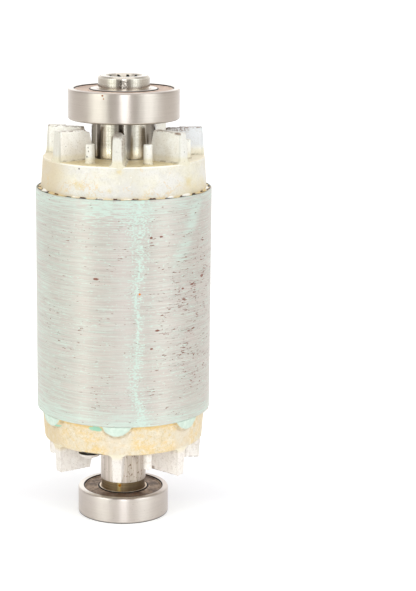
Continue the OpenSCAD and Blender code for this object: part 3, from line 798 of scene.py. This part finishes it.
def seal_material(name, side, dark, light, soiled):
    """Smudged rubber of a bearing seal, soiled at the front by some share, with painted shade at both
    edges, where it meets the rings.
    """
    paint = Paint(name, Specular_IOR_Level=0.15)
    inner_r = reach(f"{side}_bearing_inner_ring")
    edge_r = reach(f"{side}_bearing_top_seal")
    smudge = paint.noise((6, 6, 3), 3.0, 0.6, seed=71)
    fine = paint.noise(2.0, 3.0, 0.6, seed=72)
    crumbs = paint.noise(0.8, 2.0, seed=73)
    front = paint.scale(paint.about(0.0, 75, 25), soiled)
    gap_shade = paint.highest(paint.out(inner_r + 0.8, inner_r + 0.5), paint.out(edge_r - 0.5, edge_r - 0.3))
    colour = paint.layers(
        paint.mix(paint.ease(smudge, 0.36, 0.66), dark, light),
        (dark, paint.ease(fine, 0.54, 0.62), 0.6),
        (light, paint.ease(fine, 0.42, 0.34), 0.35),
        ("#3d2a20", front),
        ("#a06a34", front, paint.ease(crumbs, 0.62, 0.67)),
        # Painted shade in the gaps at both edges
        ("#14100d", gap_shade))
    return paint.finish(colour, paint.blend(paint.ease(smudge, 0.4, 0.6), 0.38, 0.55), None, fine, 0.05)


def floor_material():
    """White studio floor, lit from below, with painted shade towards the camera and painted shadows behind
    the rotor and under it.
    """
    paint = Paint("floor_white", Roughness=0.6)
    depth = paint.add("ShaderNodeSeparateXYZ", paint.place).outputs["Y"]
    under = reach("lower_bearing_outer_ring")
    colour = paint.layers(
        paint.mix(paint.noise(400.0, 2.0, seed=81), "#fafafa", "#f6f6f5"),
        # Painted shade towards the camera
        ("#9a9a98", paint.ease(depth, -250.0, -900.0)),
        # Painted shadow behind the rotor
        ("#e1e0e2", paint.out(140.0, 60.0), paint.ease(depth, -30.0, 30.0)),
        # Painted shadow under the bearing
        ("#2e2a27", paint.out(under + 0.2, under - 0.8)))
    far = paint.ease(depth, 1500.0, 4000.0)
    paint.feed(paint.shader.inputs["Emission Color"], colour)
    paint.feed(paint.shader.inputs["Emission Strength"], paint.blend(far, 0.25, 0.5))
    return paint.finish(colour)


# Pieces

# Direction away from the core, ring face, blade tip and pin inset at each end
ENDS = {
    "upper": (1, UPPER_FACE, UPPER_TIP, UPPER_PIN_INSET),
    "lower": (-1, LOWER_FACE, LOWER_TIP, LOWER_PIN_INSET),
}

# Uneven skin of the rings: amount and size
FINE_SKIN = (0.05, 1.8)
COARSE_SKIN = (0.12, 9.0)

# Thin flash at the upper ring's foot: angle, degrees to each side, and how far it runs out
FLASH = [(-69, 5, 1.4), (-35, 3, 0.5), (-16, 3, 0.6), (2, 4, 0.4), (33, 3, 0.9), (47, 4, 1.3), (82, 6, 1.2),
         (118, 7, 1.0), (165, 6, 0.8), (-100, 8, 1.1), (-140, 5, 0.9)]


def make_core(material):
    """Lamination stack: ragged turned rows, and ends that are sunk a little between the bars."""
    sunk = 0.3
    bevel = 0.25
    row = 0.5
    deepest = 0.015
    ragged_depth = 0.02
    streak = 9.0
    flattened = 9
    bore = SHAFT_R + 0.05
    rim = CORE_R - 1.1
    seat = RING_ROOT_R - 0.6
    outline = dense(np.array([
        (bore, CORE_LOW), (seat, CORE_LOW), (seat, CORE_LOW + sunk), (rim, CORE_LOW + sunk),
        (rim, CORE_LOW), (CORE_R - bevel, CORE_LOW), (CORE_R, CORE_LOW + bevel), (CORE_R, CORE_TOP - bevel),
        (CORE_R - bevel, CORE_TOP), (rim, CORE_TOP), (rim, CORE_TOP - sunk), (seat, CORE_TOP - sunk),
        (seat, CORE_TOP), (bore, CORE_TOP)]), 26)
    rows = np.linspace(CORE_LOW + bevel, CORE_TOP - bevel, int((CORE_TOP - CORE_LOW) / row))
    side = np.stack([np.full(len(rows), CORE_R), rows], -1)
    on_side = outline[:, 0] == CORE_R
    first = int(np.argmax(on_side))
    outline = np.concatenate([outline[:first], side, outline[first + int(on_side.sum()):]])
    depth = dict(zip(rows.tolist(), np.random.default_rng(5).uniform(0.0, deepest, len(rows))))

    def turned(angle, radius, z):
        outside = radius > CORE_R - 0.01
        ragged = lumps(on_cylinder(angle, radius, z * flattened), streak, 1) * ragged_depth
        groove = np.array([depth.get(height, 0.0) for height in z.tolist()])
        return np.where(outside, radius - groove - np.abs(ragged), radius), z

    piece("core_stack", *lathe(outline, 240, turned), material, "rotor", "core_steel", "rotor_core")


def ring_outline(root_z, face_z):
    """Closed outline of an end ring, from its root on the core to its face."""
    return dense(filleted([
        (RING_BORE_R, root_z, 0), (RING_ROOT_R, root_z, 0), (RING_FACE_R, face_z, RING_EDGE),
        (RING_BORE_R, face_z, RING_EDGE)]), 0.7)


def make_upper_ring(material):
    """Upper ring, with thin flash at its foot that runs out over the ends of the bars in places."""
    flash_h = 1.6

    def with_flash(angle, radius, z):
        above = z - CORE_TOP
        spread = np.zeros_like(radius)
        for place, wide, out in FLASH:
            turn = (angle - place + 180) % 360 - 180
            spread = np.maximum(spread, out * np.clip(1.3 - np.abs(turn) / wide, 0, 1))
        torn = 1 + 0.5 * lumps(on_cylinder(angle, radius, z), 1.2, 8)
        foot = np.clip(1 - above / flash_h, 0, 1) * (radius > RING_FACE_R - 0.2)
        return np.minimum(radius + spread * torn * foot, CORE_R - 0.15), z

    points, quads = lathe(ring_outline(CORE_TOP, UPPER_FACE), 420, with_flash)
    points = as_cast(points, (*FINE_SKIN, 2), (*COARSE_SKIN, 3))
    points[:, 2] = np.maximum(points[:, 2], CORE_TOP)
    piece("upper_ring_casting", points, quads, material, "rotor", "upper_ring_aluminium",
          "upper_end_ring")


def make_lower_ring(material):
    """Lower ring with its lugs, cones that lie along a radius and are flush with the core."""
    top = CORE_LOW - 0.02
    bump = 0.3
    bumps_from = LOWER_FACE + 9
    bumps_fade = 5

    def with_lugs(angle, radius, z):
        wall = radius > RING_FACE_R - 0.3
        turn = (angle - BLADE_PHASE + BLADE_STEP / 2) % BLADE_STEP - BLADE_STEP / 2
        across = np.radians(turn) * CORE_R
        away = np.hypot(across, z - (CORE_LOW + LUG_RISE))
        lug = CORE_R - np.maximum(away - LUG_R, 0) / LUG_SLOPE
        return np.where(wall, np.maximum(radius, lug), radius), z

    points, quads = lathe(ring_outline(top, LOWER_FACE), 540, with_lugs)
    points = as_cast(points, (*FINE_SKIN, 4), (*COARSE_SKIN, 5))
    bumpy = np.clip((points[:, 2] - bumps_from) / bumps_fade, 0, 1) * lumps(points, 3.2, 6)
    points[:, :2] *= 1 + bump * bumpy[:, None] / RING_ROOT_R
    radius = np.hypot(points[:, 0], points[:, 1])
    points[:, :2] *= (np.minimum(radius, CORE_R) / radius)[:, None]
    points[:, 2] = np.minimum(points[:, 2], top)
    piece("lower_ring_casting", points, quads, material, "rotor", "lower_ring_aluminium",
          "lower_end_ring")


def roughness_of(along, across, size, seed):
    """Noise from -1 to 1 over a blade's tip."""
    return lumps(np.stack([along * 24, across * 3, np.zeros_like(along)], -1), size, seed)


def fractured(along, across, seed):
    """Rough break, nearly level on the left and steep on the right."""
    fall = 0.3 + 0.3 * (1 + across) + 1.8 * np.clip((across - 0.15) / 0.85, 0, 1)
    return fall + 0.35 * roughness_of(along, across, 1.6, seed)


def notched(along, across, seed):
    """Small notch in the inner top corner."""
    return 1.4 * (along < 0.12) + 0.15 * (1 + roughness_of(along, across, 2.0, seed))


def stepped(along, across, seed):
    """Low tip with a small step, lower towards the shaft."""
    return 0.9 + 0.5 * (along < 0.55) + 0.1 * roughness_of(along, across, 1.6, seed)


def rough_corner(along, across, seed):
    """Low tip with a crumbled inner corner."""
    return 1.2 + np.where(along < 0.4, 0.5 + 0.7 * roughness_of(along, across, 1.6, seed), 0.0)


def ragged(along, across, seed):
    """Ragged lower edge."""
    return 0.3 + 0.3 * roughness_of(along, across, 1.4, seed)


def worn(along, across, seed):
    """Slight wear."""
    return 0.12 * (1 + roughness_of(along, across, 2.5, seed))


WEAR = {
    "upper_fan_blade_1": fractured, "upper_fan_blade_7": notched, "upper_fan_blade_6": stepped,
    "upper_fan_blade_3": rough_corner, "lower_fan_blade_7": ragged, "lower_fan_blade_6": notched,
}


def make_blade(side, number, material):
    """Fan blade: drafted, filleted at its root, flush with the ring's wall, with its own wear."""
    node = f"{side}_fan_blade_{number}"
    up, face, tip, _ = ENDS[side]
    height = abs(tip - face)
    seed = number + (0 if side == "upper" else 20)
    sunk = 3.0
    edge = 0.35
    length = RING_FACE_R - BLADE_INNER_R
    share, quads = block((40, 16, 32))

    # Block with rounded edges, in millimetres along, across and up
    low = np.array([0.0, -BLADE_ROOT_W / 2, -sunk])
    high = np.array([length, BLADE_ROOT_W / 2, height])
    place = low + share * (high - low)
    core = np.clip(place, low + (edge, edge, 0), high - edge)
    out = place - core
    place = core + out * edge / np.maximum(np.linalg.norm(out, axis=1, keepdims=True), 1e-9)

    # Wear at the tip, then draft, fillets and the slant of the inner end
    along = place[:, 0] / length
    across = place[:, 1] / (BLADE_ROOT_W / 2)
    loss = WEAR.get(node, worn)(along, across, seed)
    near_tip = np.clip(place[:, 2] / height, 0, 1)
    rise = place[:, 2] - loss * near_tip ** 3
    up_share = np.clip(rise / height, 0, 1)
    below = np.clip(BLADE_FILLET - np.maximum(rise, 0), 0, BLADE_FILLET)
    flare = BLADE_FILLET - np.sqrt(BLADE_FILLET ** 2 - below ** 2)
    half = (BLADE_ROOT_W + (BLADE_TIP_W - BLADE_ROOT_W) * up_share) / 2 + flare
    sideways = across * half
    inner = BLADE_INNER_R + BLADE_SLANT * up_share - flare * 0.5
    proud = 0.03 - 0.25 * np.clip(-rise / sunk, 0, 1)
    outer = RING_FACE_R - rise * DRAFT + proud
    outward = np.sqrt(outer ** 2 - sideways ** 2)
    radial = inner + (outward - inner) * along

    points = np.stack([sideways, -radial, face + up * rise], -1)
    points = as_cast(points, (0.06, 1.5, seed), (0.12, 6.0, seed + 3))
    points[:, 2] = up * np.minimum(up * points[:, 2], up * tip)
    turn = math.radians(blade_angle(number))
    spin = np.array([[math.cos(turn), -math.sin(turn)], [math.sin(turn), math.cos(turn)]])
    points[:, :2] = points[:, :2] @ spin.T
    piece(f"{side}_blade_{number}", points, quads, material, "rotor", "blade_aluminium", node)


def pin_outline(height):
    """Closed outline of a balance pin, with a small root fillet."""
    axis = 0.02
    foot_r = PIN_R + 0.5
    sunk = -0.5
    top = height - 0.1
    return dense(filleted([
        (axis, sunk, 0), (foot_r, sunk, 0), (foot_r, 0, 0), (PIN_R, 0.7, 0.5), (PIN_TOP_R, top, 0.45),
        (axis, top, 0)]), 0.7)


def make_pins(side, material):
    """Balance pins of one ring, with uneven tops. The lower pin that holds the washer is short."""
    up, face, _, inset = ENDS[side]
    all_points, all_quads, count = [], [], 0
    for number in range(1, BLADES + 1):
        riveted = side == "lower" and number == WASHER_PIN
        height = RIVETED_PIN_H if riveted else PIN_H
        points, quads = lathe(pin_outline(height), 28)
        points = as_cast(points, (0.08, 1.4, number + 40))
        points[:, 2] = face + up * np.minimum(points[:, 2], height)
        points += on_cylinder(blade_angle(number) + BLADE_STEP / 2, RING_FACE_R - inset, 0.0)
        all_points.append(points)
        all_quads.append(quads + count)
        count += len(points)
    piece(f"{side}_pins", np.concatenate(all_points), np.concatenate(all_quads), material,
          "rotor", "blade_aluminium", f"{side}_balance_pins")


def make_washer(material):
    """Washer on the riveted pin, with its edges a little rounded."""
    low, high = heights("balance_washer")
    box_low, box_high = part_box("balance_washer")
    outer_r = (box_high[0] - box_low[0]) / 2 / MM
    hole_r = PIN_R + 0.02
    outline = filleted([(hole_r, low, 0.1), (outer_r, low, 0.3), (outer_r, high, 0.3), (hole_r, high, 0.1)])
    points, quads = lathe(outline, 72)
    points += on_cylinder(blade_angle(WASHER_PIN) + BLADE_STEP / 2, RING_FACE_R - LOWER_PIN_INSET, 0.0)
    piece("washer", points, quads, material, "rotor", "washer_steel", "balance_washer", sharp=30)


def make_bearing(side, bore_r, steel, rubber):
    """Inner ring, outer ring and both seals of a bearing."""
    low, high = heights(f"{side}_bearing_outer_ring")
    outer_r = reach(f"{side}_bearing_outer_ring")
    seat_r = reach(f"{side}_bearing_top_seal") + 0.02
    inner_r = reach(f"{side}_bearing_inner_ring")
    land_r = seat_r - SEAL_LEDGE
    seat = SEAL_SINK + SEAL_T
    soft = 0.2
    body = f"{side}_bearing_outer"

    outer = filleted([
        (seat_r, low, soft), (outer_r, low, CORNER_R), (outer_r, high, CORNER_R), (seat_r, high, soft),
        (seat_r, high - seat, 0), (land_r, high - seat, 0), (land_r, low + seat, 0),
        (seat_r, low + seat, 0)], 8)
    piece(f"{side}_outer_race", *lathe(dense(outer, 4.0), 192), steel, body, "bearing_steel",
          f"{side}_bearing_outer_ring", sharp=30)

    inner = filleted([
        (bore_r, low, 0.6), (inner_r, low, 0.5), (inner_r, high, 0.5), (bore_r, high, 0.6)], 6)
    piece(f"{side}_inner_race", *lathe(dense(inner, 4.0), 160), steel, "rotor", "bearing_steel",
          f"{side}_bearing_inner_ring", sharp=30)

    lip_r = inner_r + RUN_GAP
    edge_r = seat_r - 0.02
    dished = SEAL_T - 0.35
    for name, root, up in (("top", high - seat, 1), ("bottom", low + seat, -1)):
        seal = filleted([
            (lip_r, 0, 0), (edge_r, 0, 0), (edge_r, SEAL_T, 0.3), (edge_r - 1.0, SEAL_T, 0.3),
            (edge_r - 1.35, dished, 0.3), (lip_r + 1.35, dished, 0.3), (lip_r + 0.9, SEAL_T, 0.3),
            (lip_r, SEAL_T - 0.1, 0.2)], 4)
        seal[:, 1] = root + up * seal[:, 1]
        piece(f"{side}_{name}_seal", *lathe(dense(seal, 2.0), 160), rubber, body, f"{side}_seal_rubber",
              f"{side}_bearing_{name}_seal", sharp=30)


def paint_node(node, material):
    """A CAD node that stays gets a better material."""
    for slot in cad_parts[node].material_slots:
        slot.material = material


# Studio

# Camera: picture size, focal length and the shaft's column in pixels, place in metres, tilt and roll
IMAGE_W, IMAGE_H = 416, 591
FOCAL_PX = 1772.5
AXIS_PX = 124.2
SENSOR = 36.0
CAMERA_PLACE = (0, -0.981, 0.3466)
CAMERA_TILT = 12.6
CAMERA_ROLL = -0.1

# Tall softboxes on both sides of the camera: angle and radiance. Their places and sizes are in metres,
# and so is the place that every softbox is aimed at
STRIPS = [(-39, 1.95), (-50, 2.6), (-61, 2.4), (-72, 1.2), (-83, 0.2),
          (35, 1.0), (46, 2.35), (57, 2.5), (68, 1.5), (79, 0.5)]
STRIP_AWAY = 1.6
STRIP_Z = 0.65
STRIP_W = 0.3
STRIP_TALL = 1.5
LEFT_TINT = (0.9, 1.0, 0.98)
RIGHT_TINT = (0.87, 0.98, 1.03)
AIM = (0, 0, 0.13)

# Other softboxes, also in metres: angle, distance, height of the middle, width, own height, radiance, tint
BOXES = {
    "front_strip": (1.5, 1.7, 0.55, 0.56, 1.1, 4.4, (0.85, 0.92, 1.0)),
    "front_fill": (0, 1.75, 0.55, 1.5, 1.1, 0.2, (0.95, 0.97, 1.0)),
    "overhead": (180, 0.5, 2.2, 2.0, 2.0, 0.7, (1, 1, 1)),
}

# Surroundings: tint, strength in front of and behind the rotor, and where they start to brighten
WORLD_TINT = (1.0, 0.995, 0.985, 1.0)
WORLD_FRONT = 0.72
WORLD_BACK = 1.3
WORLD_EDGE = 0.42


def make_camera():
    """Camera in front of the rotor, with the rotor left of the picture's middle."""
    data = bpy.data.cameras.new("camera")
    data.sensor_width = SENSOR
    data.lens = SENSOR * FOCAL_PX / IMAGE_H
    data.shift_x = (IMAGE_W / 2 - AXIS_PX) / IMAGE_H
    camera = bpy.data.objects.new("camera", data)
    camera.location = CAMERA_PLACE
    camera.rotation_euler = (math.radians(90 - CAMERA_TILT), math.radians(CAMERA_ROLL), 0)
    bpy.context.scene.collection.objects.link(camera)
    bpy.context.scene.camera = camera


def make_floor(material):
    """Wide level floor under the lower bearing."""
    half_m = 40.0
    mesh = bpy.data.meshes.new("floor")
    corners = [(-half_m, -half_m, 0), (half_m, -half_m, 0), (half_m, half_m, 0), (-half_m, half_m, 0)]
    mesh.from_pydata(corners, [], [(0, 1, 2, 3)])
    mesh.materials.append(material)
    floor = bpy.data.objects.new("floor", mesh)
    bpy.context.scene.collection.objects.link(floor)


def softbox(name, azimuth, distance, z, width, tall, radiance, tint):
    """Area light at an angle from the camera's side, in metres, that faces the rotor."""
    data = bpy.data.lights.new(name, "AREA")
    data.shape = "RECTANGLE"
    data.size = width
    data.size_y = tall
    data.energy = radiance * math.pi * width * tall
    data.color = tint
    light = bpy.data.objects.new(name, data)
    turn = math.radians(azimuth)
    light.location = (distance * math.sin(turn), -distance * math.cos(turn), z)
    aim = Vector(AIM) - light.location
    light.rotation_euler = aim.to_track_quat("-Z", "Y").to_euler()
    light.visible_camera = False
    bpy.context.scene.collection.objects.link(light)


def make_light():
    """White surroundings that are brighter behind the rotor, and softboxes beside the camera."""
    world = bpy.data.worlds.new("studio")
    world.use_nodes = True
    nodes, links = world.node_tree.nodes, world.node_tree.links
    nodes["Background"].inputs["Color"].default_value = WORLD_TINT
    direction = nodes.new("ShaderNodeTexCoord").outputs["Generated"]
    axes = nodes.new("ShaderNodeSeparateXYZ")
    links.new(direction, axes.inputs[0])
    ramp = nodes.new("ShaderNodeMapRange")
    ramp.interpolation_type = "SMOOTHSTEP"
    links.new(axes.outputs["Y"], ramp.inputs["Value"])
    ramp.inputs["From Min"].default_value = WORLD_EDGE
    ramp.inputs["To Min"].default_value = WORLD_FRONT
    ramp.inputs["To Max"].default_value = WORLD_BACK
    links.new(ramp.outputs[0], nodes["Background"].inputs["Strength"])
    bpy.context.scene.world = world
    for azimuth, radiance in STRIPS:
        tint = LEFT_TINT if azimuth < 0 else RIGHT_TINT
        softbox(f"softbox_{azimuth}", azimuth, STRIP_AWAY, STRIP_Z, STRIP_W, STRIP_TALL, radiance, tint)
    for name, values in BOXES.items():
        softbox(name, *values)
    bpy.context.scene.view_settings.view_transform = "Standard"


make_camera()
make_floor(floor_material())
make_light()
make_core(core_material())
make_upper_ring(upper_ring_material())
make_lower_ring(lower_ring_material())
blade_skin = blade_material()
for blade_side in ("upper", "lower"):
    for blade_number in range(1, BLADES + 1):
        make_blade(blade_side, blade_number, blade_skin)
    make_pins(blade_side, blade_skin)
make_bearing(
    "upper", UPPER_BORE_R,
    bearing_material("upper_bearing_steel", "upper", "#baafa5", "#c0b5ab", shade_angle=0.0, gilded=0.0),
    seal_material("upper_seal_rubber", "upper", "#b89f8f", "#d8bfae", soiled=0.0))
make_bearing(
    "lower", TAIL_R,
    bearing_material("lower_bearing_steel", "lower", "#c2b8b0", "#c8beb6", shade_angle=95.0, gilded=0.5),
    seal_material("lower_seal_rubber", "lower", "#6f5a4c", "#c2ab98", soiled=0.68))
make_washer(washer_material())
paint_node("shaft", shaft_material())
paint_node("cage_bars", bar_material())
